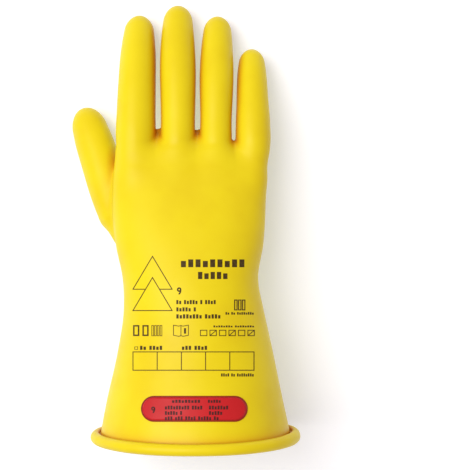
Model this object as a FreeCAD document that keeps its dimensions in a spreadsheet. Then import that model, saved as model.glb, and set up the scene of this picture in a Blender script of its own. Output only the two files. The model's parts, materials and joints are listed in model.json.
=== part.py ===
"""Rubber insulating glove for the right hand, low-voltage class, 280 mm long, hand size 9.

The real glove is one seamless skin of dipped natural rubber, about 1 mm thick, with a rolled bead
round the cuff and a vulcanised class label on the back of the cuff. It lies palm down: the bead
rests at the back, the finger tips and the thumb at the front.

The skin is built as a closed outer form less a closed inner form. It is then divided where the
rubber folds as a hand closes: at the wrist, at three folds in each finger and at two in the thumb.
Between two stiff lengths of skin lies a short flex zone, narrow on the back of the finger and wide
on its palm side, where the rubber bunches up.

Frame, in millimetres: +X to the little finger, +Y to the finger tips, +Z up from the back of the
hand. The origin is on the surface that the glove lies on, under the middle of its bounding box.
"""
import FreeCAD, Part
import math
import os

Vector = FreeCAD.Vector
OUT = "parts"

# Driving dimensions: alias, value, meaning.
DIMENSIONS = [
    ("wall", 1.0, "thickness of the rubber"),
    ("mouth_x", 8.3, "middle of the cuff mouth, across"),
    ("mouth_y", -133.9, "middle of the cuff mouth, along"),
    ("bead_radius", 3.5, "radius of the rolled bead"),
    ("bead_half_width", 60.4, "bead centre line, half of the mouth's width"),
    ("bead_half_depth", 51.8, "bead centre line, half of the mouth's depth"),
    ("flex_gap", 1.0, "half length of a flex zone on its narrow side"),
    ("flex_margin", 3.0, "degrees that a flex zone has to spare on each side"),
    ("wrist_fold_station", 94.0, "wrist fold, measured from the mouth"),
    ("wrist_limit", 25.0, "degrees that the wrist bends each way"),
    ("label_station", 22.6, "middle of the label, measured from the mouth"),
    ("label_shift", 0.7, "middle of the label, across from the mouth's middle"),
    ("label_length", 61.0, "length of the label, across the cuff"),
    ("label_width", 15.0, "width of the label, along the cuff"),
    ("label_thickness", 0.4, "thickness of the label"),
]

# Sections of the cuff and the palm: name, station from the mouth, middle across from the mouth's
# middle, height of the middle, half width, half depth.
SECTIONS = [
    ("mouth", 0.0, 0.0, 55.3, 58.0, 49.0),
    ("cuff", 22.0, -0.4, 55.0, 53.6, 44.6),
    ("sleeve", 52.0, -0.3, 53.4, 47.3, 37.2),
    ("wrist", 88.0, -2.5, 50.0, 41.5, 31.4),
    ("heel", 116.0, -3.6, 45.4, 45.0, 27.0),
    ("palm", 145.0, -4.5, 41.0, 47.7, 21.4),
    ("knuckles", 168.0, -3.5, 37.8, 47.7, 16.6),
    ("web", 180.0, -2.8, 36.2, 46.0, 10.5),
    ("edge", 185.5, -2.6, 35.4, 41.0, 3.5),
]

# Digits. x and station place the first fold from the mouth's middle, height is its height, splay
# turns the digit outwards and pitch tips it down, in degrees. reach is the length of the centre line
# from the first fold to the middle of the round tip, and bend is how far it curls over that length.
# lean is how far the palm side of the digit faces towards the little finger.
DIGIT_KEYS = (
    "x", "station", "height", "splay", "pitch", "bend", "lean", "reach",
    "root_radius", "middle_radius", "pad_radius", "tip_radius", "buried",
)
DIGITS = {
    "index": (-38.3, 194.0, 34.2, 0.0, 12.0, 18.0, 0.0, 65.0, 12.1, 11.7, 11.0, 9.8, 30.0),
    "middle": (-12.5, 194.0, 35.2, 0.0, 11.0, 18.0, 0.0, 71.8, 10.8, 11.3, 10.7, 9.6, 30.0),
    "ring": (12.0, 193.5, 34.8, -0.5, 12.0, 19.0, 0.0, 65.8, 10.2, 10.7, 10.4, 9.4, 30.0),
    "little": (35.2, 188.5, 33.4, 0.0, 14.0, 18.0, 0.0, 49.3, 10.8, 9.9, 9.2, 8.5, 30.0),
    "thumb": (-59.3, 162.0, 20.9, 20.0, 14.5, 6.0, 5.0, 35.5, 12.6, 12.3, 11.7, 10.7, 60.0),
}

# Folds of each digit: name, distance from the first fold, bending limit in degrees.
FOLDS = {
    "index": (("knuckle", 0.0, 55.0), ("mid", 25.0, 65.0), ("tip", 46.0, 50.0)),
    "middle": (("knuckle", 0.0, 55.0), ("mid", 28.5, 65.0), ("tip", 52.0, 50.0)),
    "ring": (("knuckle", 0.0, 55.0), ("mid", 26.0, 65.0), ("tip", 47.0, 50.0)),
    "little": (("knuckle", 0.0, 55.0), ("mid", 20.0, 65.0), ("tip", 36.5, 50.0)),
    "thumb": (("base", 0.0, 30.0), ("tip", 20.0, 45.0)),
}
# The length of skin that follows each fold.
LENGTH_AFTER = {"knuckle": "base", "base": "base", "mid": "mid", "tip": "tip"}

doc = FreeCAD.newDocument("insulating_glove")
sheet = doc.addObject("Spreadsheet::Sheet", "Sizes")


def write_sheet():
    """Fills the sheet: alias, value and meaning in one row each."""
    rows = list(DIMENSIONS)
    for name, *values in SECTIONS:
        keys = ("station", "shift", "height", "half_width", "half_depth")
        rows += [(f"{name}_{key}", value, "section") for key, value in zip(keys, values)]
    for digit, values in DIGITS.items():
        rows += [(f"{digit}_{key}", value, "digit") for key, value in zip(DIGIT_KEYS, values)]
        for fold, distance, limit in FOLDS[digit]:
            rows.append((f"{digit}_{fold}_fold", distance, "distance from the first fold"))
            rows.append((f"{digit}_{fold}_limit", limit, "bending limit in degrees"))
    for row, (alias, value, meaning) in enumerate(rows, start=1):
        sheet.set(f"A{row}", alias)
        sheet.set(f"B{row}", str(value))
        sheet.set(f"C{row}", meaning)
        sheet.setAlias(f"B{row}", alias)
    doc.recompute()


def size(alias):
    """The value of one cell of the sheet."""
    return float(sheet.get(alias))


def cell(alias, add=""):
    """The expression that binds a property to a cell, with anything to add to it."""
    return f"<<Sizes>>.{alias}{add}"


def new(kind, label, **bound):
    """A document object whose named properties are bound to expressions."""
    made = doc.addObject(kind, label)
    for key, expression in bound.items():
        made.setExpression(key, expression)
    return made


def combine(kind, label, **parts):
    """A boolean of document objects."""
    made = doc.addObject(kind, label)
    for key, value in parts.items():
        setattr(made, key, value)
    return made


# ---------------------------------------------------------------------- cuff and palm forms

FACING_Y = FreeCAD.Rotation(Vector(1, 0, 0), -90)


def hand_form(label, grow):
    """The closed form of the cuff and the palm, lofted through the sections, grown by so many walls.

    A form that is smaller than the skin runs out of the mouth, and stops one wall short of the edge.
    """
    rings = []
    for name, *_ in SECTIONS:
        end = {"mouth": "+2 * ", "edge": "+1 * "}.get(name)
        inset = f" {end}{grow}" if end and not grow.startswith("0") else ""
        ring = new(
            "Part::Ellipse",
            f"{label}_{name}",
            MajorRadius=cell(f"{name}_half_width", f" + {grow}"),
            MinorRadius=cell(f"{name}_half_depth", f" + {grow}"),
        )
        ring.Placement = FreeCAD.Placement(Vector(), FACING_Y)
        ring.setExpression(".Placement.Base.x", cell("mouth_x", f" + {cell(name + '_shift')}"))
        ring.setExpression(".Placement.Base.y", cell("mouth_y", f" + {cell(name + '_station')}{inset}"))
        ring.setExpression(".Placement.Base.z", cell(f"{name}_height"))
        rings.append(ring)
    return combine("Part::Loft", label, Sections=rings, Solid=True, Ruled=False)


# ---------------------------------------------------------------------- digits


class Digit:
    """The centre line of a digit: straight where it is buried in the palm, then an arc that curls."""

    def __init__(self, name):
        self.name = name
        of = {key: size(f"{name}_{key}") for key in DIGIT_KEYS}
        self.reach = of["reach"]
        self.buried = of["buried"]
        self.radius = {key: of[f"{key}_radius"] for key in ("root", "middle", "pad", "tip")}
        self.root = Vector(of["x"] + size("mouth_x"), of["station"] + size("mouth_y"), of["height"])
        splay, pitch, lean = (math.radians(of[key]) for key in ("splay", "pitch", "lean"))
        level = Vector(-math.sin(splay), math.cos(splay), 0)
        self.ahead = level * math.cos(pitch) + Vector(0, 0, -math.sin(pitch))
        facing = Vector(math.sin(lean), 0, -math.cos(lean))
        self.palmward = facing - self.ahead * facing.dot(self.ahead)
        self.palmward.normalize()
        self.hinge_axis = self.ahead.cross(self.palmward)
        self.curve = math.radians(of["bend"]) / of["reach"]

    def frame(self, distance):
        """(point, forward, palmward) at a distance along the centre line from the first fold."""
        if distance <= 0:
            return self.root + self.ahead * distance, self.ahead, self.palmward
        turn = self.curve * distance
        point = (
            self.root
            + self.ahead * (math.sin(turn) / self.curve)
            + self.palmward * ((1 - math.cos(turn)) / self.curve)
        )
        forward = self.ahead * math.cos(turn) + self.palmward * math.sin(turn)
        palmward = self.palmward * math.cos(turn) - self.ahead * math.sin(turn)
        return point, forward, palmward

    def beside(self, distance, along, palmward):
        """A point in the digit's plane, beside the centre line."""
        point, forward, down = self.frame(distance)
        return point + forward * along + down * palmward

    def placement(self, distance):
        """The placement that carries the XY plane across the centre line."""
        point, forward, down = self.frame(distance)
        return FreeCAD.Placement(point, FreeCAD.Rotation(down, self.hinge_axis, forward, "ZXY"))

    def form(self, label, grow):
        """The closed form of the digit with its round tip, grown by so many walls."""
        rings = []
        stops = (
            ("start", -self.buried, f"0.25 * {cell(self.name + '_root_radius')}"),
            ("heel", -0.75 * self.buried, f"0.75 * {cell(self.name + '_root_radius')}"),
            ("root", -0.45 * self.buried, cell(f"{self.name}_root_radius")),
            ("low", 0.2 * self.reach, cell(f"{self.name}_root_radius")),
            ("middle", 0.5 * self.reach, cell(f"{self.name}_middle_radius")),
            ("pad", 0.8 * self.reach, cell(f"{self.name}_pad_radius")),
            ("tip", self.reach, cell(f"{self.name}_tip_radius")),
        )
        for stop, distance, radius in stops:
            ring = new("Part::Circle", f"{label}_{stop}", Radius=f"{radius} + {grow}")
            ring.Placement = self.placement(distance)
            rings.append(ring)
        tube = combine("Part::Loft", f"{label}_tube", Sections=rings, Solid=True, Ruled=False)
        dome = new(
            "Part::Sphere", f"{label}_dome", Radius=cell(f"{self.name}_tip_radius", f" + {grow}")
        )
        dome.Angle1 = 0
        dome.Placement = self.placement(self.reach)
        return combine("Part::MultiFuse", label, Shapes=[tube, dome])

    def fold_lines(self, fold):
        """The two broken lines that bound a flex zone, back of the digit first: (near, far)."""
        distance, limit = size(f"{self.name}_{fold}_fold"), size(f"{self.name}_{fold}_limit")
        wide = self.side() * math.tan(math.radians(limit / 2 + size("flex_margin")))
        gap = size("flex_gap")
        return tuple(
            [
                self.beside(distance, way * gap, -self.side()),
                self.beside(distance, way * gap, 0),
                self.beside(distance, way * (gap + wide), self.side()),
            ]
            for way in (-1, 1)
        )

    def side(self):
        """How far a cutting prism reaches from the centre line: past the widest section."""
        return 1.25 * max(self.radius.values())

    def prism(self, label, near, far):
        """A solid between two broken lines in the digit's plane, as wide as the digit."""
        outline = doc.addObject("Part::Polygon", f"{label}_outline")
        outline.Nodes = near + far[::-1]
        outline.Close = True
        made = doc.addObject("Part::Extrusion", label)
        made.Base = outline
        made.DirMode = "Custom"
        made.Dir = self.hinge_axis
        made.LengthFwd = 2.14 * max(self.radius.values())
        made.Symmetric = True
        made.Solid = True
        return made

    def end_line(self, distance):
        """A straight line across the digit, past one of its ends."""
        return [self.beside(distance, 0, way * self.side()) for way in (-1, 1)]


def bow_tie(station, angle, height, gap, reach, way):
    """One side of the wrist's flex zone: narrow at mid height, wide above and below."""
    wide = gap + reach * math.tan(math.radians(angle))
    return [
        (station + way * wide, height + reach),
        (station + way * gap, height),
        (station + way * wide, height - reach),
    ]


def slab(label, points):
    """A solid as wide as the glove between points in the plane X = 0."""
    outline = doc.addObject("Part::Polygon", f"{label}_outline")
    outline.Nodes = [Vector(0, y, z) for y, z in points]
    outline.Close = True
    made = doc.addObject("Part::Extrusion", label)
    made.Base = outline
    made.DirMode = "Custom"
    made.Dir = Vector(1, 0, 0)
    made.LengthFwd = 400
    made.Symmetric = True
    made.Solid = True
    return made


def make_bead():
    """The rolled bead: a round bar bent to the mouth's ellipse in two halves, less what the cuff fills."""
    middle = Vector(size("mouth_x"), size("mouth_y"), size("mouth_height"))
    halves = []
    for side, way in (("upper", 1), ("lower", -1)):
        path = new(
            "Part::Ellipse",
            f"bead_{side}_path",
            MajorRadius=cell("bead_half_width"),
            MinorRadius=cell("bead_half_depth"),
        )
        path.Angle1 = 0
        path.Angle2 = 180
        path.Placement = FreeCAD.Placement(middle, FreeCAD.Rotation(Vector(1, 0, 0), 90 * way))
        profile = new("Part::Circle", f"bead_{side}_profile", Radius=cell("bead_radius"))
        start = middle + Vector(size("bead_half_width"), 0, 0)
        profile.Placement = FreeCAD.Placement(start, FreeCAD.Rotation())
        half = doc.addObject("Part::Sweep", f"bead_{side}")
        half.Sections = [profile]
        half.Spine = (path, ["Edge1"])
        half.Solid = True
        halves.append(half)
    ring = combine("Part::MultiFuse", "bead_ring", Shapes=halves)
    return combine("Part::Cut", "cuff_bead", Base=ring, Tool=outer_hand)


def make_label():
    """The class label: a pill with round ends, vulcanised to the back of the cuff."""
    raised = hand_form("label_form", cell("label_thickness"))
    x = size("mouth_x") + size("label_shift")
    y = size("mouth_y") + size("label_station")
    z = size("mouth_height")
    bar = new(
        "Part::Box",
        "label_bar",
        Length=cell("label_length", f" - {cell('label_width')}"),
        Width=cell("label_width"),
    )
    bar.Height = 80
    half = (size("label_length") - size("label_width")) / 2
    bar.Placement.Base = Vector(x - half, y - size("label_width") / 2, z)
    shapes = [bar]
    for way in (-1, 1):
        end = new("Part::Cylinder", "label_end", Radius=cell("label_width", " / 2"))
        end.Height = 80
        end.Placement.Base = Vector(x + way * half, y, z)
        shapes.append(end)
    pill = combine("Part::MultiFuse", "label_pill", Shapes=shapes)
    layer = combine("Part::Cut", "label_layer", Base=raised, Tool=outer_hand)
    return combine("Part::MultiCommon", "class_label", Shapes=[layer, pill])


def make_cuff():
    """The gauntlet, the wrist's flex zone and the region that is left for the palm."""
    station = size("mouth_y") + size("wrist_fold_station")
    angle = size("wrist_limit") / 2 + size("flex_margin")
    height, gap, reach = size("wrist_height"), size("flex_gap"), 75
    near = bow_tie(station, angle, height, gap, reach, -1)
    far = bow_tie(station, angle, height, gap, reach, 1)
    behind = size("mouth_y") - 20
    beyond = size("mouth_y") + 300
    skin = combine("Part::Cut", "hand_skin", Base=outer_hand, Tool=inner_hand)
    behind_slab = slab("gauntlet_slab", [(behind, near[0][1]), *near, (behind, near[2][1])])
    wrist_slab = slab("wrist_slab", [*near, *far[::-1]])
    palm_slab = slab("palm_slab", [*far, (beyond, far[2][1]), (beyond, far[0][1])])
    gauntlet = combine("Part::MultiCommon", "gauntlet", Shapes=[skin, behind_slab])
    wrist = combine("Part::MultiCommon", "wrist_flex", Shapes=[skin, wrist_slab])
    region = combine("Part::MultiCommon", "palm_region", Shapes=[outer_hand, palm_slab])
    return gauntlet, wrist, region


def make_digit(digit):
    """The nodes of one digit, from its first fold to its tip, and its stub on the palm."""
    name = digit.name
    outer, inner = outer_digits[name], inner_digits[name]
    skin = combine("Part::Cut", f"{name}_skin", Base=outer, Tool=inner)
    folds = [fold for fold, *_ in FOLDS[name]]
    lines = {fold: digit.fold_lines(fold) for fold in folds}
    made = []
    for index, fold in enumerate(folds):
        near, far = lines[fold]
        zone = digit.prism(f"{name}_{fold}_zone", near, far)
        made.append(combine("Part::MultiCommon", f"{name}_{fold}_flex", Shapes=[skin, zone]))
        if index + 1 < len(folds):
            end = lines[folds[index + 1]][0]
        else:
            end = digit.end_line(digit.reach + 2 * digit.radius["tip"])
        block = digit.prism(f"{name}_{LENGTH_AFTER[fold]}_block", far, end)
        made.append(combine("Part::MultiCommon", f"{name}_{LENGTH_AFTER[fold]}", Shapes=[skin, block]))
    start = digit.end_line(-digit.buried - 5)
    root_block = digit.prism(f"{name}_stub_block", start, lines[folds[0]][0])
    stub = combine("Part::MultiCommon", f"{name}_stub", Shapes=[outer, root_block])
    return made, stub


# ---------------------------------------------------------------------- build

write_sheet()
digits = {name: Digit(name) for name in DIGITS}
INNER = f"-1 * {cell('wall')}"

outer_hand = hand_form("outer_hand", "0")
inner_hand = hand_form("inner_hand", INNER)
outer_digits = {name: digit.form(f"outer_{name}", "0") for name, digit in digits.items()}
inner_digits = {name: digit.form(f"inner_{name}", INNER) for name, digit in digits.items()}
inner = combine("Part::MultiFuse", "inner_form", Shapes=[inner_hand, *inner_digits.values()])

gauntlet, wrist_flex, palm_region = make_cuff()
nodes = [make_bead(), gauntlet, make_label(), wrist_flex]
stubs = []
for digit in digits.values():
    made, stub = make_digit(digit)
    nodes += made
    stubs.append(stub)
palm_outer = combine("Part::MultiFuse", "palm_outer", Shapes=[palm_region, *stubs])
nodes.append(combine("Part::Cut", "palm", Base=palm_outer, Tool=inner))

doc.recompute()
for item in doc.Objects:
    if "Invalid" in item.State or "Error" in item.State:
        raise RuntimeError(f"{item.Label} failed: {item.State}")
os.makedirs(OUT, exist_ok=True)
for node in nodes:
    shape = node.Shape
    if shape.isNull() or not shape.isValid() or len(shape.Solids) != 1:
        raise RuntimeError(f"{node.Label} is not one valid solid: {len(shape.Solids)} solids")
    shape.exportStep(os.path.join(OUT, f"{node.Label}.step"))
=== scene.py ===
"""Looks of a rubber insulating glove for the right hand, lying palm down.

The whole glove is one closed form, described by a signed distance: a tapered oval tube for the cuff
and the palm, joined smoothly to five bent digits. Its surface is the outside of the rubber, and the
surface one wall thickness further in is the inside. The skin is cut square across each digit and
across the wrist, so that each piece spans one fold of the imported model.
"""

import json
import math

import bmesh
import bpy
import numpy as np
import openvdb
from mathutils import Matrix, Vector


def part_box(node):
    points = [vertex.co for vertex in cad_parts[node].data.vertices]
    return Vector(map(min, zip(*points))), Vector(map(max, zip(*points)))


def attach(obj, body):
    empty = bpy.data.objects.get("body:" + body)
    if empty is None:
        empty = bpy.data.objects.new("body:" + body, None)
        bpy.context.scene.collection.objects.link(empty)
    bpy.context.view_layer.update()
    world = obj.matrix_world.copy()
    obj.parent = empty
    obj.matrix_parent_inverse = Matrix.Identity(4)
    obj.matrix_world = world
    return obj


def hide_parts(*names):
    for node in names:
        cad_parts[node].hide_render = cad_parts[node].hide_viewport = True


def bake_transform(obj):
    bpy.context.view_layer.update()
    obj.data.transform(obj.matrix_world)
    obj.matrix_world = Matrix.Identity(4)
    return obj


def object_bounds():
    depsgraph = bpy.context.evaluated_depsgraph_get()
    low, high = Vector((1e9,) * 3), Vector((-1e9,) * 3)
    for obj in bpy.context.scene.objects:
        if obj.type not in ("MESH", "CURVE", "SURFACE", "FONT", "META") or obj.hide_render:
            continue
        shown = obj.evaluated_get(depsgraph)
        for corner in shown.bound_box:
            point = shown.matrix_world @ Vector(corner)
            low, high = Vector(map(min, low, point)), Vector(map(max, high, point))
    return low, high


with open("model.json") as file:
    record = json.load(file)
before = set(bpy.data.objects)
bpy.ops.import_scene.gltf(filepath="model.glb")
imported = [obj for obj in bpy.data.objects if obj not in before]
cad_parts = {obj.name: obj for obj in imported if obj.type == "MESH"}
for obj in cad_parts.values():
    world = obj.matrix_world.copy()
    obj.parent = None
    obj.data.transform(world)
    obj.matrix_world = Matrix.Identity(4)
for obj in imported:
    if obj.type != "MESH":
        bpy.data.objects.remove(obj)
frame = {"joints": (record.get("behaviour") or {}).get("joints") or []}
cad_low, cad_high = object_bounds()

MM = 0.001
WALL = 1.0 * MM
GRID = 1.25 * MM
JOINTS = {joint["name"]: joint for joint in frame["joints"]}

GAUNTLET_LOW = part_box("gauntlet")[0]
BEAD_LOW, BEAD_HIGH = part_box("cuff_bead")
MOUTH_X = (BEAD_LOW.x + BEAD_HIGH.x) / 2
MOUTH_Y = GAUNTLET_LOW.y
WRIST = Vector(JOINTS["wrist_bend"]["pos_m"])
EYE_HEIGHT = 800 * MM
EYE = Vector((MOUTH_X + 24 * MM, MOUTH_Y + 122.4 * MM, EYE_HEIGHT))

# Cuff and palm, in millimetres: station from the mouth, middle across from the mouth's middle,
# height of the middle, half width, half depth, and how square the oval is (2 is an ellipse).
HAND = [
    (-8.0, 0.3, 55.5, 59.6, 50.4, 2.0),
    (0.0, 0.0, 55.3, 58.0, 49.0, 2.0),
    (22.0, -0.4, 55.0, 53.6, 44.6, 2.0),
    (52.0, -0.3, 53.4, 47.3, 37.2, 2.0),
    (76.0, -1.2, 51.1, 43.0, 33.2, 2.0),
    (96.0, -3.4, 48.9, 41.7, 30.2, 2.1),
    (116.0, -4.1, 45.4, 45.5, 27.0, 2.2),
    (145.0, -4.5, 40.2, 47.7, 20.4, 2.4),
    (164.0, -3.8, 37.6, 47.4, 14.8, 2.5),
    (176.0, -2.8, 36.2, 47.4, 10.2, 2.5),
    (181.0, -2.6, 34.6, 47.0, 7.8, 2.5),
    (187.0, -2.4, 32.0, 46.4, 5.4, 2.4),
    (200.0, -2.4, 31.0, 45.0, 4.5, 2.4),
]
# Where the palm ends between the digits: across from the mouth's middle, station from the mouth.
WEBS = [
    (-60.0, 177.4),
    (-38.0, 183.4),
    (-25.0, 189.0),
    (-0.5, 190.5),
    (12.0, 186.4),
    (23.0, 180.9),
    (36.0, 175.4),
    (60.0, 169.4),
]
WEB_ROUNDING = 24 * MM
# The fillet between the palm and the fingers, in millimetres, by station: wide over the knuckles.
FINGER_JOIN = [(174.0, 12.0), (185.0, 3.5)]
BETWEEN_FINGERS = 2.5 * MM
THUMB_JOIN = 5 * MM
# How softly the rubber flattens where it rests on the floor.
FLAT_SPOT = 0.8 * MM

# Digits: length of the centre line past the first fold in millimetres, curl over that length in
# degrees, how far the skin lies to the right of the centre line at the first fold and at the tip, in
# millimetres, and (share of that length, radius in millimetres).
DIGITS = {
    "index": (
        64.4,
        17.6,
        (0.1, 0.5),
        [
            (-0.5, 8.5), (-0.22, 12.1), (0.1, 12.2), (0.42, 11.8),
            (0.72, 11.2), (0.88, 10.4), (1.0, 9.6), (1.17, 8.3),
        ],
    ),
    "middle": (
        70.7,
        17.6,
        (0.75, -0.4),
        [
            (-0.45, 8.0), (-0.2, 10.7), (0.0, 10.7), (0.2, 11.0), (0.45, 11.4),
            (0.68, 11.1), (0.87, 10.3), (1.0, 9.5), (1.16, 8.4),
        ],
    ),
    "ring": (
        65.2,
        18.6,
        (0.0, 0.1),
        [
            (-0.5, 7.5), (-0.22, 10.1), (0.0, 9.9), (0.2, 10.3), (0.44, 10.75),
            (0.72, 10.35), (0.88, 9.7), (1.0, 9.0), (1.16, 7.95),
        ],
    ),
    "little": (
        48.6,
        17.5,
        (0.1, -0.5),
        [
            (-0.6, 6.0), (-0.25, 10.6), (0.1, 10.8), (0.36, 10.2),
            (0.62, 9.75), (0.85, 9.15), (1.0, 8.4), (1.17, 7.4),
        ],
    ),
    "thumb": (
        32.6,
        5.5,
        (0.0, 0.0),
        [
            (-1.85, 5.0), (-1.36, 8.2), (-1.14, 9.9), (-0.96, 12.3), (-0.76, 12.8),
            (0.33, 12.6), (0.82, 11.9), (1.0, 11.3), (1.3, 10.8),
        ],
    ),
}
# How long the rounded tips are for their width.
TIP_LENGTH = 1.33
FOLDS = {name: ("base", "tip") if name == "thumb" else ("knuckle", "mid", "tip") for name in DIGITS}
LENGTH_AFTER = {"knuckle": "base", "base": "base", "mid": "mid", "tip": "tip"}
# The cuts: how far past the first fold the first lies in millimetres, where the others lie between
# folds as a share of the gap, how far the last fold's bend runs on, how far beyond a digit's radius
# a cut reaches, and how far inside its cuts a point is taken on the centre line.
FIRST_SEAM = {"index": -2.0, "middle": -2.0, "ring": -2.0, "little": -5.5, "thumb": 1.5}
SEAM_SHARES = (0.65, 0.5)
TIP_BEND = 10 * MM
SEAM_SLACK = 1.8 * MM
SEAM_MARGIN = 0.6 * MM
WRIST_REACH = 20 * MM
# Skin this close to a digit's own surface belongs to that digit.
DIGIT_SKIN = 1.9 * MM

# The class label and the ink print are laid out on a level plane at this height, in millimetres
# across from the mouth's middle and along from the mouth, and are thrown from a point high above
# the hand onto the back of the cuff.
LAYOUT_HEIGHT = 80 * MM
LABEL_LENGTH, LABEL_WIDTH = 62.9, 15.3
LABEL_MIDDLE = (0.0, 19.8)
LABEL_RIM = 0.9
LABEL_THICKNESS = 0.45

# The bead's crease, as a share of its radius and in degrees round its section, and how much looser
# the roll is on the right.
BEAD_CREASE = 0.34
CREASE_AT, CREASE_WIDTH = 140, 17
BEAD_LOOSER = 0.24


def curve_through(stops):
    """A smooth function through (position, value) stops, level beyond the ends."""
    at = np.array([s[0] for s in stops], float)
    value = np.array([s[1] for s in stops], float)
    slope = np.gradient(value, at)
    slope[0] = slope[-1] = 0.0

    def curve(x):
        x = np.clip(x, at[0], at[-1])
        i = np.clip(np.searchsorted(at, x) - 1, 0, len(at) - 2)
        span = at[i + 1] - at[i]
        t = (x - at[i]) / span
        rise = value[i] * (1 + 2 * t) * (1 - t) ** 2 + value[i + 1] * t * t * (3 - 2 * t)
        lean = slope[i] * t * (1 - t) ** 2 - slope[i + 1] * t * t * (1 - t)
        return rise + lean * span

    return curve


def smooth_min(a, b, join):
    """The union of two distances, with a fillet about as wide as join."""
    mix = np.clip(join - np.abs(a - b), 0, None) / join
    return np.minimum(a, b) - mix * mix * mix * join / 6


class Digit:
    """A finger or the thumb: straight behind its first fold, then an arc that curls to a round tip."""

    def __init__(self, name):
        reach, bend, drift, stops = DIGITS[name]
        self.name = name
        self.reach = reach * MM
        self.radius_at = curve_through([(share * self.reach, radius * MM) for share, radius in stops])
        self.radius_most = max(radius for _, radius in stops) * MM
        self.drift = curve_through([(0.0, drift[0] * MM), (self.reach, drift[1] * MM)])
        self.start = stops[0][0] * self.reach
        self.bow = self.reach / math.radians(bend)
        folds = [JOINTS[f"{name}_{fold}_bend"] for fold in FOLDS[name]]
        self.root = np.array(folds[0]["pos_m"])
        self.axis = np.array(folds[0]["axis"]) / np.linalg.norm(folds[0]["axis"])
        chord = np.array(folds[1]["pos_m"]) - self.root
        half_turn = math.asin(np.linalg.norm(chord) / (2 * self.bow))
        chord /= np.linalg.norm(chord)
        self.ahead = chord * math.cos(half_turn) - np.cross(self.axis, chord) * math.sin(half_turn)
        self.palmward = np.cross(self.axis, self.ahead)
        self.folds = [float(self.station(np.array([fold["pos_m"]]))[0]) for fold in folds]

    def local(self, points):
        """Components of points along the digit's straight part, towards the palm side and sideways."""
        away = points - self.root
        return away @ self.ahead, away @ self.palmward, away @ self.axis

    def station(self, points):
        """How far along the centre line points lie, from the first fold."""
        along, down, _ = self.local(points)
        turned = self.bow * np.arctan2(along, self.bow - down)
        return np.where(along > 0, turned, along)

    def distance(self, points):
        """Distance of points from the digit's surface, negative inside."""
        along, down, side = self.local(points)
        ahead = along > 0
        inward = np.where(ahead, self.bow - np.hypot(along, self.bow - down), down)
        station = np.where(ahead, self.bow * np.arctan2(along, self.bow - down), along)
        side = side + self.drift(station)
        past = np.clip(np.maximum(station - self.reach, self.start - station), 0, None) / TIP_LENGTH
        return np.sqrt(inward**2 + side**2 + past**2) - self.radius_at(station)

    def frame(self, station):
        """(point, direction) on the centre line."""
        if station <= 0:
            return self.root + self.ahead * station, self.ahead
        turn = station / self.bow
        forward = self.ahead * self.bow * math.sin(turn)
        downward = self.palmward * self.bow * (1 - math.cos(turn))
        direction = self.ahead * math.cos(turn) + self.palmward * math.sin(turn)
        return self.root + forward + downward, direction

    def seams(self):
        """Stations of the cuts: before the first fold, between folds, and past the last fold."""
        gaps = zip(self.folds, self.folds[1:], SEAM_SHARES)
        between = [a + (b - a) * share for a, b, share in gaps]
        return [FIRST_SEAM[self.name] * MM, *between, self.folds[-1] + TIP_BEND]


class Glove:
    """The closed form of the whole glove."""

    def __init__(self):
        columns = list(zip(*HAND))
        stations = [MOUTH_Y + s * MM for s in columns[0]]
        scaled = [MM, MM, MM, MM, 1.0]
        self.section = [
            curve_through([(s, v * unit) for s, v in zip(stations, column)])
            for column, unit in zip(columns[1:], scaled)
        ]
        self.web = curve_through([(MOUTH_X + x * MM, MOUTH_Y + s * MM) for x, s in WEBS])
        self.join = curve_through([(MOUTH_Y + s * MM, width * MM) for s, width in FINGER_JOIN])
        self.digits = [Digit(name) for name in DIGITS]

    def hand(self, points):
        """Distance from the cuff and palm."""
        x, y, z = points[:, 0], points[:, 1], points[:, 2]
        shift, height, half_width, half_depth, square = (curve(y) for curve in self.section)
        across = np.abs(x - MOUTH_X - shift) / half_width + 1e-6
        up = np.abs(z - height) / half_depth + 1e-6
        size = (across**square + up**square) ** (1 / square)
        slope = size ** (1 - square) * np.hypot(
            across ** (square - 1) / half_width, up ** (square - 1) / half_depth
        )
        tube = (size - 1) / np.maximum(slope, 0.2 / half_width)
        return -smooth_min(-tube, self.web(x) - y, WEB_ROUNDING)

    def ripple(self, points):
        """Slow unevenness of the dipped rubber."""
        x, y, z = (points[:, i] / MM for i in range(3))
        waves = np.sin(x / 9.1 + 0.4 * np.sin(y / 13.0)) * np.sin(y / 11.3 + z / 17.0)
        waves += 0.6 * np.sin(x / 5.3 - y / 7.9 + 1.3) * np.sin(z / 6.1 + y / 19.0)
        return 0.07 * MM * waves

    def distance(self, points):
        """Distance from the outside of the rubber, negative within."""
        made = self.hand(points)
        fingers = np.full(len(points), 1.0)
        for digit in self.digits:
            if digit.name == "thumb":
                thumb = digit.distance(points)
            else:
                fingers = smooth_min(fingers, digit.distance(points), BETWEEN_FINGERS)
        made = smooth_min(made, fingers, self.join(points[:, 1]))
        made = smooth_min(made, thumb, THUMB_JOIN)
        return -smooth_min(-(made + self.ripple(points)), points[:, 2] - 0.05 * MM, FLAT_SPOT)

    def slope(self, points):
        """The distance's gradient at points."""
        step = 0.05 * MM
        rise = [
            self.distance(points + step * unit) - self.distance(points - step * unit) for unit in np.eye(3)
        ]
        return np.stack(rise, axis=1) / (2 * step)

    def settle(self, points, level):
        """Points moved onto the surface at a level of the distance."""
        for _ in range(3):
            slope = self.slope(points)
            off = (self.distance(points) - level) / np.maximum((slope**2).sum(1), 0.05)
            points = points - slope * np.clip(off, -0.6 * MM, 0.6 * MM)[:, None]
        return points

    def normals(self, points):
        slope = self.slope(points)
        return slope / np.linalg.norm(slope, axis=1)[:, None]


glove = Glove()


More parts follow.
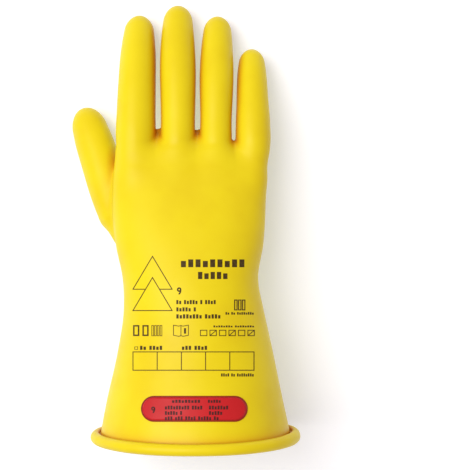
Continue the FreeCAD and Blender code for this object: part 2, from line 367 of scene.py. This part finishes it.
def grid_surface(level):
    """Quads over the surface at a level of the distance: (points, faces)."""
    margin = 4 * MM
    low = np.array([*cad_low]) - margin
    high = np.array([*cad_high]) + margin
    low[1] = MOUTH_Y - 3 * MM
    counts = np.ceil((high - low) / GRID).astype(int)
    axes = [low[i] + GRID * np.arange(counts[i]) for i in range(3)]
    field = np.empty(counts, np.float32)
    for i, x in enumerate(axes[0]):
        y, z = np.meshgrid(axes[1], axes[2], indexing="ij")
        slab = np.stack([np.full(y.size, x), y.ravel(), z.ravel()], axis=1)
        field[i] = glove.distance(slab).reshape(y.shape)
    grid = openvdb.FloatGrid(float(field.max()))
    grid.copyFromArray(field - level)
    points, quads = grid.convertToQuads(0.0)
    return glove.settle(points * GRID + low, level), quads


# ---------------------------------------------------------------------- objects


def add_object(name, points, faces, body=None):
    """A mesh object in the scene, riding on a body if one is given."""
    mesh = bpy.data.meshes.new(name)
    mesh.from_pydata(np.asarray(points).tolist(), [], [list(map(int, face)) for face in faces])
    mesh.update()
    made = bpy.data.objects.new(name, mesh)
    bpy.context.scene.collection.objects.link(made)
    if body:
        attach(made, body)
    return made


def shade(piece, normals):
    """Smooth shading with the form's own normals, so that no seam between pieces shows."""
    piece.data.shade_smooth()
    piece.data.normals_split_custom_set_from_vertices(normals.tolist())


# ---------------------------------------------------------------------- skin


class Seam:
    """A plane that cuts the skin: where, which way it faces, and how far it reaches."""

    def __init__(self, point, facing, reach):
        self.point, self.facing, self.reach = np.array(point), np.array(facing), reach

    def off(self, points):
        """Signed distance of points from the plane."""
        return (points - self.point) @ self.facing

    def near(self, points, within):
        """Which points lie near the plane and within its reach."""
        return (np.abs(self.off(points)) < within) & (
            np.linalg.norm(points - self.point, axis=1) < self.reach
        )


def all_seams():
    """Every seam: the mouth, both ends of the wrist, and the cuts across each digit."""
    across = np.array([0.0, 1.0, 0.0])
    whole = 200 * MM
    made = {"mouth": Seam((WRIST.x, MOUTH_Y, WRIST.z), across, whole)}
    for name, way in (("wrist_start", -1), ("wrist_end", 1)):
        made[name] = Seam((WRIST.x, WRIST.y + way * WRIST_REACH, WRIST.z), across, whole)
    for digit in glove.digits:
        for index, station in enumerate(digit.seams()[:-1]):
            point, facing = digit.frame(station)
            made[f"{digit.name}_{index}"] = Seam(point, facing, digit.radius_most + SEAM_SLACK)
    return made


def regions(points):
    """The name of the piece that each point belongs to."""
    names = np.full(len(points), "skin_palm", dtype=object)
    names[points[:, 1] < WRIST.y + WRIST_REACH] = "skin_wrist"
    names[points[:, 1] < WRIST.y - WRIST_REACH] = "skin_cuff"
    nearest = np.full(len(points), DIGIT_SKIN)
    for digit in glove.digits:
        off, station = np.abs(digit.distance(points) + WALL / 2), digit.station(points)
        closer = off < nearest
        nearest[closer] = off[closer]
        for fold, seam in zip(FOLDS[digit.name], digit.seams()):
            names[closer & (station > seam)] = f"skin_{digit.name}_{LENGTH_AFTER[fold]}"
    return names


def both_sides():
    """The outside and the inside of the whole skin: (bmesh, layer that marks the inside, face centres)."""
    bm = bmesh.new()
    inside_layer = bm.faces.layers.int.new("inside")
    centres = []
    for inside in (0, 1):
        points, quads = grid_surface(-WALL * inside)
        corners = [bm.verts.new(point) for point in points.tolist()]
        centres.append(points[quads].mean(axis=1))
        for quad in quads.tolist():
            face = bm.faces.new([corners[i] for i in (reversed(quad) if inside else quad)])
            face[inside_layer] = inside
    return bm, inside_layer, np.concatenate(centres)


def cut_at_seams(bm, centres):
    """Cuts the faces near each seam along it."""
    bm.faces.ensure_lookup_table()
    chosen = {}
    for name, seam in seams.items():
        indices = np.nonzero(seam.near(centres, 1.5 * GRID))[0]
        chosen[name] = [bm.faces[i] for i in indices]
    for name, faces in chosen.items():
        edges = {edge for face in faces for edge in face.edges}
        verts = {vert for face in faces for vert in face.verts}
        bmesh.ops.bisect_plane(
            bm,
            geom=[*faces, *edges, *verts],
            dist=1e-7,
            plane_co=seams[name].point,
            plane_no=seams[name].facing,
        )


def cut_skin():
    """The skin cut at every seam: (points, corners of each face, which are inside, piece names)."""
    bm, inside_layer, centres = both_sides()
    cut_at_seams(bm, centres)
    bm.faces.ensure_lookup_table()
    middles = np.array([face.calc_center_median() for face in bm.faces])
    names = regions(middles)
    names[middles[:, 1] < MOUTH_Y] = "past the mouth"
    bm.verts.index_update()
    points = np.array([vert.co for vert in bm.verts])
    corners = [[vert.index for vert in face.verts] for face in bm.faces]
    inside = np.array([face[inside_layer] for face in bm.faces], bool)
    bm.free()
    return points, corners, inside, names


def close_rims(mesh):
    """Joins the outside to the inside round each cut."""
    bm = bmesh.new()
    bm.from_mesh(mesh)
    open_edges = [edge for edge in bm.edges if edge.is_boundary]
    middles = np.array([(edge.verts[0].co + edge.verts[1].co) / 2 for edge in open_edges])
    for seam in seams.values():
        chosen = [open_edges[i] for i in np.nonzero(seam.near(middles, 0.02 * MM))[0]]
        if chosen:
            bmesh.ops.bridge_loops(bm, edges=chosen)
    bm.to_mesh(mesh)
    bm.free()


def make_skin():
    """One piece for each length of skin, each spanning one fold."""
    points, corners, inside, names = cut_skin()
    normals = glove.normals(points)
    made = {}
    for name in sorted(set(names) - {"past the mouth"}):
        faces = np.nonzero(names == name)[0]
        used = sorted({corner for i in faces for corner in corners[i]})
        where = {corner: k for k, corner in enumerate(used)}
        flipped = {corner for i in faces if inside[i] for corner in corners[i]}
        way = np.array([-1.0 if corner in flipped else 1.0 for corner in used])
        piece = add_object(name, points[used], [[where[c] for c in corners[i]] for i in faces])
        close_rims(piece.data)
        shade(piece, normals[used] * way[:, None])
        made[name] = piece
    return made


def hang_skin(pieces):
    """Hides the solids that each piece stands for, and hangs the cuff and the palm on their bodies."""
    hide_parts("gauntlet")
    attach(pieces["skin_cuff"], "gauntlet_body")
    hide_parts("palm")
    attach(pieces["skin_palm"], "palm_body")
    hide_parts("wrist_flex")
    bend_at_wrist(pieces["skin_wrist"])
    for digit in glove.digits:
        ends = digit.seams()
        for fold, start, end in zip(FOLDS[digit.name], ends, ends[1:]):
            length = f"{digit.name}_{LENGTH_AFTER[fold]}"
            piece = pieces[f"skin_{length}"]
            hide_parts(f"{digit.name}_{fold}_flex", length)
            digit.frame(start + SEAM_MARGIN)[0]
            digit.frame(end - SEAM_MARGIN)[0]
            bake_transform(piece)


def bend_at_wrist(piece):
    """Bakes a piece's placement into its points."""
    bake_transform(piece)


# ---------------------------------------------------------------------- bead


def make_bead():
    """The rolled bead: a bar with a crease where the roll meets the cuff's outside."""
    around, about = 288, 32
    thick = (BEAD_HIGH.y - BEAD_LOW.y) / 2
    half_width = (BEAD_HIGH.x - BEAD_LOW.x) / 2 - thick
    half_depth = (BEAD_HIGH.z - BEAD_LOW.z) / 2 - thick
    middle_z = (BEAD_HIGH.z + BEAD_LOW.z) / 2
    turn = np.linspace(0, 2 * math.pi, around, endpoint=False)[:, None]
    round_bar = np.linspace(0, 2 * math.pi, about, endpoint=False)[None, :]
    out_x, out_z = np.cos(turn) * half_depth, np.sin(turn) * half_width
    outward = np.hypot(out_x, out_z)
    crease = BEAD_CREASE * np.exp(-(((np.degrees(round_bar) - CREASE_AT) / CREASE_WIDTH) ** 2))
    uneven = 0.012 * np.sin(3 * turn + 0.5) + 0.008 * np.sin(7 * turn) - 0.02
    radius = thick * (1 + uneven - crease)
    lift = radius * np.cos(round_bar)
    looser = 1 + BEAD_LOOSER * np.clip(np.cos(turn), 0, 1) ** 3 * (np.sin(round_bar) > 0)
    points = np.stack(
        [
            MOUTH_X + np.cos(turn) * half_width + out_x / outward * lift,
            MOUTH_Y + radius * np.sin(round_bar) * looser,
            middle_z + np.sin(turn) * half_depth + out_z / outward * lift,
        ],
        axis=2,
    ).reshape(-1, 3)
    index = np.arange(around * about).reshape(around, about)
    ahead, beside = np.roll(index, -1, 0), np.roll(index, -1, 1)
    both = np.roll(ahead, -1, 1)
    faces = np.stack([index, beside, both, ahead], axis=2).reshape(-1, 4)
    bead = add_object("bead", points, faces, "gauntlet_body")
    bead.data.shade_smooth()
    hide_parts("cuff_bead")
    return bead


# ---------------------------------------------------------------------- label and print


def on_back(across, along, lift):
    """Layout points, in millimetres, thrown onto the back of the cuff and lifted off it."""
    eye = np.array([*EYE])
    target = np.stack(
        [
            MOUTH_X + np.asarray(across) * MM,
            MOUTH_Y + np.asarray(along) * MM,
            np.full(len(across), LAYOUT_HEIGHT),
        ],
        axis=1,
    )
    sight = (target - eye) / (eye[2] - LAYOUT_HEIGHT)
    above = np.full(len(across), cad_high.z + 5 * MM)
    below = np.full(len(across), WRIST.z)
    for _ in range(22):
        middle = (above + below) / 2
        outside = glove.distance(eye + sight * (eye[2] - middle)[:, None]) > 0
        above, below = np.where(outside, middle, above), np.where(outside, below, middle)
    points = eye + sight * (eye[2] - above)[:, None]
    return points + glove.normals(points) * np.asarray(lift)[:, None] * MM


class Print:
    """Marks that gather into one thin layer."""

    def __init__(self, lift):
        self.lift = lift
        self.across, self.along, self.lifts, self.faces = [], [], [], []

    def ribbon(self, line, width, closed=False):
        """A line of even width through layout points, with mitred corners."""
        line = np.array(line, float)
        count = len(line)
        steps = np.roll(line, -1, 0) - line if closed else np.diff(line, axis=0)
        steps /= np.linalg.norm(steps, axis=1)[:, None]
        beside = np.stack([-steps[:, 1], steps[:, 0]], axis=1)
        before = np.roll(beside, 1, 0) if closed else np.concatenate([beside[:1], beside])
        after = beside if closed else np.concatenate([beside, beside[-1:]])
        mitre = before + after
        mitre *= (width / 2) / (mitre * after).sum(1)[:, None]
        left, right = line + mitre, line - mitre
        for i in range(count if closed else count - 1):
            j = (i + 1) % count
            self.patch(left[i], left[j], right[i], right[j])

    def patch(self, left_start, left_end, right_start, right_end):
        """A four-cornered mark, as a thin closed tile that follows the cuff."""
        long_side = np.linalg.norm(left_end - left_start)
        short_side = np.linalg.norm(left_start - right_start)
        rows, columns = (max(1, math.ceil(side / 1.5)) + 1 for side in (long_side, short_side))
        u, v = np.meshgrid(np.linspace(0, 1, rows), np.linspace(0, 1, columns), indexing="ij")
        u, v = u.reshape(-1, 1), v.reshape(-1, 1)
        left = (1 - u) * left_start + u * left_end
        right = (1 - u) * right_start + u * right_end
        flat = (1 - v) * left + v * right
        base = sum(len(part) for part in self.across)
        top = base + np.arange(rows * columns).reshape(rows, columns)
        bottom = top + rows * columns
        for lift in (self.lift + 0.05, self.lift - 0.05):
            self.across.append(flat[:, 0])
            self.along.append(flat[:, 1])
            self.lifts.append(np.full(rows * columns, lift))
        for i in range(rows - 1):
            for j in range(columns - 1):
                self.faces.append([top[i, j], top[i, j + 1], top[i + 1, j + 1], top[i + 1, j]])
                self.faces.append([bottom[i, j], bottom[i + 1, j], bottom[i + 1, j + 1], bottom[i, j + 1]])
        rim = [*top[0, :], *top[1:, -1], *top[-1, -2::-1], *top[-2:0:-1, 0]]
        for a, b in zip(rim, rim[1:] + rim[:1]):
            self.faces.append([a, a + rows * columns, b + rows * columns, b])

    def bar(self, low_across, high_across, low_along, high_along):
        """A filled rectangle."""
        middle = (low_along + high_along) / 2
        self.ribbon([(low_across, middle), (high_across, middle)], high_along - low_along)

    def frame(self, low_across, high_across, low_along, high_along, width):
        """The outline of a rectangle."""
        corners = [
            (low_across, low_along),
            (high_across, low_along),
            (high_across, high_along),
            (low_across, high_along),
        ]
        self.ribbon(corners, width, closed=True)

    def ring(self, middle, radius, width, start=0, end=360):
        """A circle or an arc."""
        closed = end - start >= 360
        angles = np.radians(np.linspace(start, end, 25)[: -1 if closed else None])
        line = [(middle[0] + radius * math.cos(a), middle[1] + radius * math.sin(a)) for a in angles]
        self.ribbon(line, width, closed)

    def blocks(self, across, along, width, height, words):
        """A line of plain blocks in place of print, with a gap between words."""
        pitch = width / (sum(words) + 0.7 * len(words) - 1.0)
        for word in words:
            for i in range(word):
                tall = height if (i + word) % 3 else 0.8 * height
                self.bar(across, across + 0.68 * pitch, along, along + tall)
                across += pitch
            across += 0.7 * pitch

    def nine(self, across, along, height, width):
        """The size number, from its left foot."""
        bowl = (height * 0.31, height * 0.69)
        radius = height * 0.31 - width / 2
        self.ring((across + bowl[0], along + bowl[1]), radius, width)
        right = across + bowl[0] + radius
        drop = bowl[1] - width / 2
        tail = [
            (right - 1.35 * radius * (1 - math.cos(a)), along + bowl[1] - drop * math.sin(a))
            for a in np.radians(np.linspace(0, 90, 9))
        ]
        self.ribbon(tail, width)

    def finish(self, name):
        lifts = np.concatenate(self.lifts)
        points = on_back(np.concatenate(self.across), np.concatenate(self.along), lifts)
        return add_object(name, points, self.faces)


def make_print():
    """The ink on the back of the cuff. Plain blocks and outlines stand in for words and marks."""
    ink = Print(0.0)
    thin = 0.5
    ink.ribbon([(-36.2, 90.4), (-24.7, 109.8), (-13.1, 90.4)], thin)
    ink.ribbon([(-36.4, 90.4), (-29.0, 90.4)], thin)
    ink.ribbon([(-20.4, 90.4), (-12.9, 90.4)], thin)
    ink.ribbon([(-36.2, 77.8), (-24.7, 97.3), (-13.1, 77.8)], thin, closed=True)
    ink.blocks(-7.9, 103.4, 37.5, 4.6, (9,))
    ink.blocks(2.2, 96.4, 17.4, 4.2, (5,))
    ink.nine(-10.3, 87.2, 4.3, 0.85)
    ink.blocks(-10.6, 81.6, 23.2, 2.4, (2, 5, 1, 4))
    ink.blocks(-10.6, 77.3, 11.5, 2.4, (5, 1))
    ink.blocks(-10.6, 73.1, 26.0, 2.5, (8, 5))
    for i in range(3):
        ink.frame(23.8 + 2.3 * i, 25.2 + 2.3 * i, 78.2, 84.0, 0.6)
    ink.blocks(18.4, 75.4, 16.6, 1.5, (2, 2, 8))
    ink.frame(-35.7, -32.9, 63.2, 68.8, 0.85)
    ink.frame(-30.2, -27.4, 63.2, 68.8, 0.85)
    for i in range(4):
        ink.frame(-25.1 + 1.65 * i, -24.1 + 1.65 * i, 62.9, 69.0, 0.36)
    make_book(ink, -7.9, 62.6)
    ink.blocks(11.3, 67.9, 23.9, 1.1, (8, 8))
    for i in range(6):
        left = 3.6 + 5.6 * i
        ink.frame(left, left + 3.8, 63.0, 66.2, 0.45)
        if i % 2:
            ink.ribbon([(left, 63.0), (left + 3.8, 66.2)], 0.45)
    ink.frame(-35.2, -33.4, 54.9, 56.4, 0.3)
    ink.blocks(-32.0, 54.6, 13.0, 2.4, (2, 4))
    ink.blocks(-7.3, 54.6, 14.8, 2.4, (3, 4))
    ink.frame(-36.2, 35.2, 42.6, 53.4, thin)
    for i in range(1, 5):
        across = -36.2 + 71.4 * i / 5
        ink.ribbon([(across, 42.6), (across, 53.4)], thin)
    ink.blocks(15.8, 38.9, 19.2, 1.8, (4, 2, 8))
    made = ink.finish("cuff_print")
    bend_at_wrist(made)
    return made


def make_book(ink, across, along):
    """An open book in outline."""
    thin = 0.4
    for way in (-1, 1):
        page = [(0.0, 0.4), (1.2, 0.0), (4.4, 0.6), (4.4, 6.6), (1.2, 6.0), (0.0, 6.4)]
        ink.ribbon([(across + way * x, along + y) for x, y in page], thin)
    ink.ribbon([(across, along + 0.4), (across, along + 6.4)], thin)
    ink.bar(across + 1.8, across + 3.0, along + 1.6, along + 4.8)


def label_ring(inset):
    """Layout points round the label's outline, moved in by an inset."""
    radius = LABEL_WIDTH / 2 - inset
    half = (LABEL_LENGTH - LABEL_WIDTH) / 2
    angles = np.radians(np.linspace(-90, 90, 25))
    right = [(half + radius * math.cos(a), radius * math.sin(a)) for a in angles]
    straight = np.linspace(half, -half, 33)[1:-1]
    top = [(x, radius) for x in straight]
    left = [(-x, -y) for x, y in right]
    bottom = [(-x, -radius) for x in straight]
    return np.array(right + top + left + bottom) + LABEL_MIDDLE


def make_label_part(name, insets):
    """A closed part of the label between insets, given as (inset, lift) rings from outside to inside."""
    rings = [label_ring(inset) for inset, _ in insets]
    count = len(rings[0])
    flat = np.concatenate(rings)
    lifts = np.repeat([lift for _, lift in insets], count)
    index = np.arange(len(flat)).reshape(len(rings), count)
    beside = np.roll(index, -1, 1)
    faces = np.stack([index[:-1], beside[:-1], beside[1:], index[1:]], axis=2).reshape(-1, 4)
    made = add_object(name, on_back(flat[:, 0], flat[:, 1], lifts), faces)
    bm = bmesh.new()
    bm.from_mesh(made.data)
    bmesh.ops.remove_doubles(bm, verts=bm.verts, dist=0.02 * MM)
    bmesh.ops.recalc_face_normals(bm, faces=bm.faces)
    bm.to_mesh(made.data)
    bm.free()
    made.data.shade_smooth()
    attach(made, "gauntlet_body")
    return made


def make_label():
    """The vulcanised class label: a face, a darker rim, and blocks in place of its words."""
    full, deep = LABEL_THICKNESS, -0.15
    rim = make_label_part(
        "class_label_rim",
        [(0.0, deep), (0.0, 0.15), (0.25, full), (LABEL_RIM, full), (LABEL_RIM, deep), (0.0, deep)],
    )
    steps = [LABEL_RIM, 2.0, 4.0, 6.0, LABEL_WIDTH / 2]
    under = [(step, deep) for step in reversed(steps)]
    face = make_label_part("class_label_face", under + [(step, full) for step in steps])
    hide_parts("class_label")
    ink = Print(LABEL_THICKNESS)
    ink.nine(-25.3, 17.2, 3.9, 0.8)
    ink.blocks(-13.0, 23.3, 16.3, 1.8, (9,))
    ink.blocks(8.0, 23.3, 7.4, 1.8, (5,))
    ink.blocks(-17.2, 19.4, 21.8, 2.2, (9, 4))
    ink.blocks(8.6, 19.4, 11.2, 2.2, (7,))
    ink.blocks(-17.2, 16.2, 10.0, 2.2, (5, 1))
    ink.blocks(8.6, 16.2, 7.7, 2.2, (5,))
    ink.blocks(-17.2, 13.1, 31.4, 2.2, (3, 3, 4, 5, 2))
    words = ink.finish("class_label_print")
    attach(words, "gauntlet_body")
    return face, rim, words


# ---------------------------------------------------------------------- materials


class Material:
    """A Principled material built up from noise in the object's own coordinates."""

    def __init__(self, name, **settings):
        self.material = bpy.data.materials.new(name)
        self.material.use_nodes = True
        self.tree = self.material.node_tree
        self.shader = self.tree.nodes["Principled BSDF"]
        for key, value in settings.items():
            self.shader.inputs[key.replace("_", " ")].default_value = value
        self.place = self.tree.nodes.new("ShaderNodeTexCoord").outputs["Object"]

    def noise(self, size, detail=2.0, roughness=0.5):
        """Noise with features of about a size in millimetres."""
        node = self.tree.nodes.new("ShaderNodeTexNoise")
        node.inputs["Scale"].default_value = 1 / (size * MM)
        node.inputs["Detail"].default_value = detail
        node.inputs["Roughness"].default_value = roughness
        self.tree.links.new(self.place, node.inputs["Vector"])
        return node.outputs["Fac"]

    def between(self, value, low, high, source=(0.3, 0.7)):
        """A value in a source range carried to a range from low to high."""
        node = self.tree.nodes.new("ShaderNodeMapRange")
        node.inputs["From Min"].default_value = source[0]
        node.inputs["From Max"].default_value = source[1]
        node.inputs["To Min"].default_value = low
        node.inputs["To Max"].default_value = high
        self.tree.links.new(value, node.inputs["Value"])
        return node.outputs["Result"]

    def colours(self, value, *stops):
        """Colours along a value from 0 to 1."""
        node = self.tree.nodes.new("ShaderNodeValToRGB")
        ramp = node.color_ramp
        for index, (at, colour) in enumerate(stops):
            element = ramp.elements[index] if index < 2 else ramp.elements.new(at)
            element.position = at
            element.color = (*colour, 1)
        self.tree.links.new(value, node.inputs["Fac"])
        self.tree.links.new(node.outputs["Color"], self.shader.inputs["Base Color"])

    def paint_crease_shade(self, reach, colour):
        """Painted shade: turns the base colour darker and warmer where ambient occlusion finds creases of
        about a size in millimetres.
        """
        node = self.tree.nodes.new("ShaderNodeAmbientOcclusion")
        node.samples = 8
        node.inputs["Distance"].default_value = reach * MM
        mix = self.tree.nodes.new("ShaderNodeMix")
        mix.data_type = "RGBA"
        colours = [socket for socket in mix.inputs if socket.type == "RGBA"]
        colours[0].default_value = (*colour, 1)
        base = self.shader.inputs["Base Color"].links[0].from_socket
        self.tree.links.new(base, colours[1])
        self.tree.links.new(self.between(node.outputs["AO"], 0.0, 1.0, (0.3, 0.92)), mix.inputs["Factor"])
        mixed = next(socket for socket in mix.outputs if socket.type == "RGBA")
        self.tree.links.new(mixed, self.shader.inputs["Base Color"])

    def roughness(self, value):
        self.tree.links.new(value, self.shader.inputs["Roughness"])

    def bump(self, *layers):
        """Bumps from (value, height in millimetres, strength) layers."""
        normal = None
        for value, height, strength in layers:
            node = self.tree.nodes.new("ShaderNodeBump")
            node.inputs["Distance"].default_value = height * MM
            node.inputs["Strength"].default_value = strength
            self.tree.links.new(value, node.inputs["Height"])
            if normal:
                self.tree.links.new(normal, node.inputs["Normal"])
            normal = node.outputs["Normal"]
        self.tree.links.new(normal, self.shader.inputs["Normal"])


def rubber(name, dark, middle, light):
    """Satin dipped rubber: slow clouds of colour, painted shade in the creases, a fine orange-peel
    surface, and a soft gloss.
    """
    made = Material(name, IOR=1.4, Specular_IOR_Level=0.3)
    made.colours(made.noise(38, 3.0), (0.3, dark), (0.5, middle), (0.72, light))
    # Painted shade: creases turn towards a darker, redder share of the middle colour.
    made.paint_crease_shade(9, tuple(share * c for share, c in zip((0.84, 0.44, 1.0), middle)))
    made.roughness(made.between(made.noise(9, 3.0), 0.36, 0.47))
    made.bump((made.noise(11, 2.0), 0.25, 0.35), (made.noise(0.9, 2.0, 0.6), 0.03, 0.35))
    return made.material


def printed(name, colour):
    """Matt ink with slightly uneven cover."""
    made = Material(name, Specular_IOR_Level=0.2)
    worn = tuple(min(1.0, c * 1.8 + 0.01) for c in colour)
    made.colours(made.noise(1.2, 2.0), (0.35, colour), (0.75, worn))
    made.roughness(made.between(made.noise(2.0), 0.5, 0.65))
    made.bump((made.noise(0.5), 0.02, 0.3))
    return made.material


def paint(material, *pieces):
    for piece in pieces:
        piece.data.materials.clear()
        piece.data.materials.append(material)


# ---------------------------------------------------------------------- build

seams = all_seams()
skin = make_skin()
hang_skin(skin)
bead = make_bead()
cuff_print = make_print()
label_face, label_rim, label_print = make_label()

yellow = rubber("yellow_rubber", (0.76, 0.62, 0.008), (0.80, 0.68, 0.009), (0.82, 0.71, 0.011))
red = rubber("red_rubber", (0.50, 0.013, 0.017), (0.54, 0.015, 0.020), (0.58, 0.018, 0.024))
dark_red = rubber("dark_red_rubber", (0.20, 0.018, 0.008), (0.26, 0.024, 0.010), (0.30, 0.03, 0.012))
paint(yellow, *skin.values(), bead)
paint(red, label_face)
paint(dark_red, label_rim)
paint(printed("brown_black_ink", (0.045, 0.028, 0.004)), cuff_print)
paint(printed("black_ink", (0.05, 0.008, 0.008)), label_print)


def make_stage():
    """A pale floor, a soft key light from the upper left, and a bright even sky."""
    floor = add_object("floor", [(-3, -3, 0), (3, -3, 0), (3, 3, 0), (-3, 3, 0)], [(0, 1, 2, 3)])
    pale = Material("pale_floor", Roughness=0.9, Specular_IOR_Level=0.1, Emission_Strength=0.4)
    pale.shader.inputs["Emission Color"].default_value = (0.66, 0.82, 1.0, 1)
    pale.colours(pale.noise(200), (0.3, (0.80, 0.80, 0.80)), (0.7, (0.82, 0.82, 0.82)))
    paint(pale.material, floor)
    lamp = bpy.data.lights.new("key", "AREA")
    lamp.energy, lamp.size = 51.0, 1.9
    holder = bpy.data.objects.new("key", lamp)
    holder.location = (-1.0, 0.35, 2.15)
    holder.rotation_euler = (-holder.location).to_track_quat("-Z", "Y").to_euler()
    bpy.context.scene.collection.objects.link(holder)
    sky = bpy.data.worlds.new("sky")
    sky.use_nodes = True
    glow = sky.node_tree.nodes["Background"]
    glow.inputs["Color"].default_value = (1.0, 0.74, 0.64, 1)
    glow.inputs["Strength"].default_value = 0.47
    bpy.context.scene.world = sky
    bpy.context.scene.view_settings.view_transform = "Standard"


def make_camera():
    """A long lens straight above the hand."""
    camera = bpy.data.cameras.new("camera")
    camera.sensor_width = 36
    camera.lens = 93.45
    holder = bpy.data.objects.new("camera", camera)
    holder.location = EYE
    bpy.context.scene.collection.objects.link(holder)
    bpy.context.scene.camera = holder


make_stage()
make_camera()
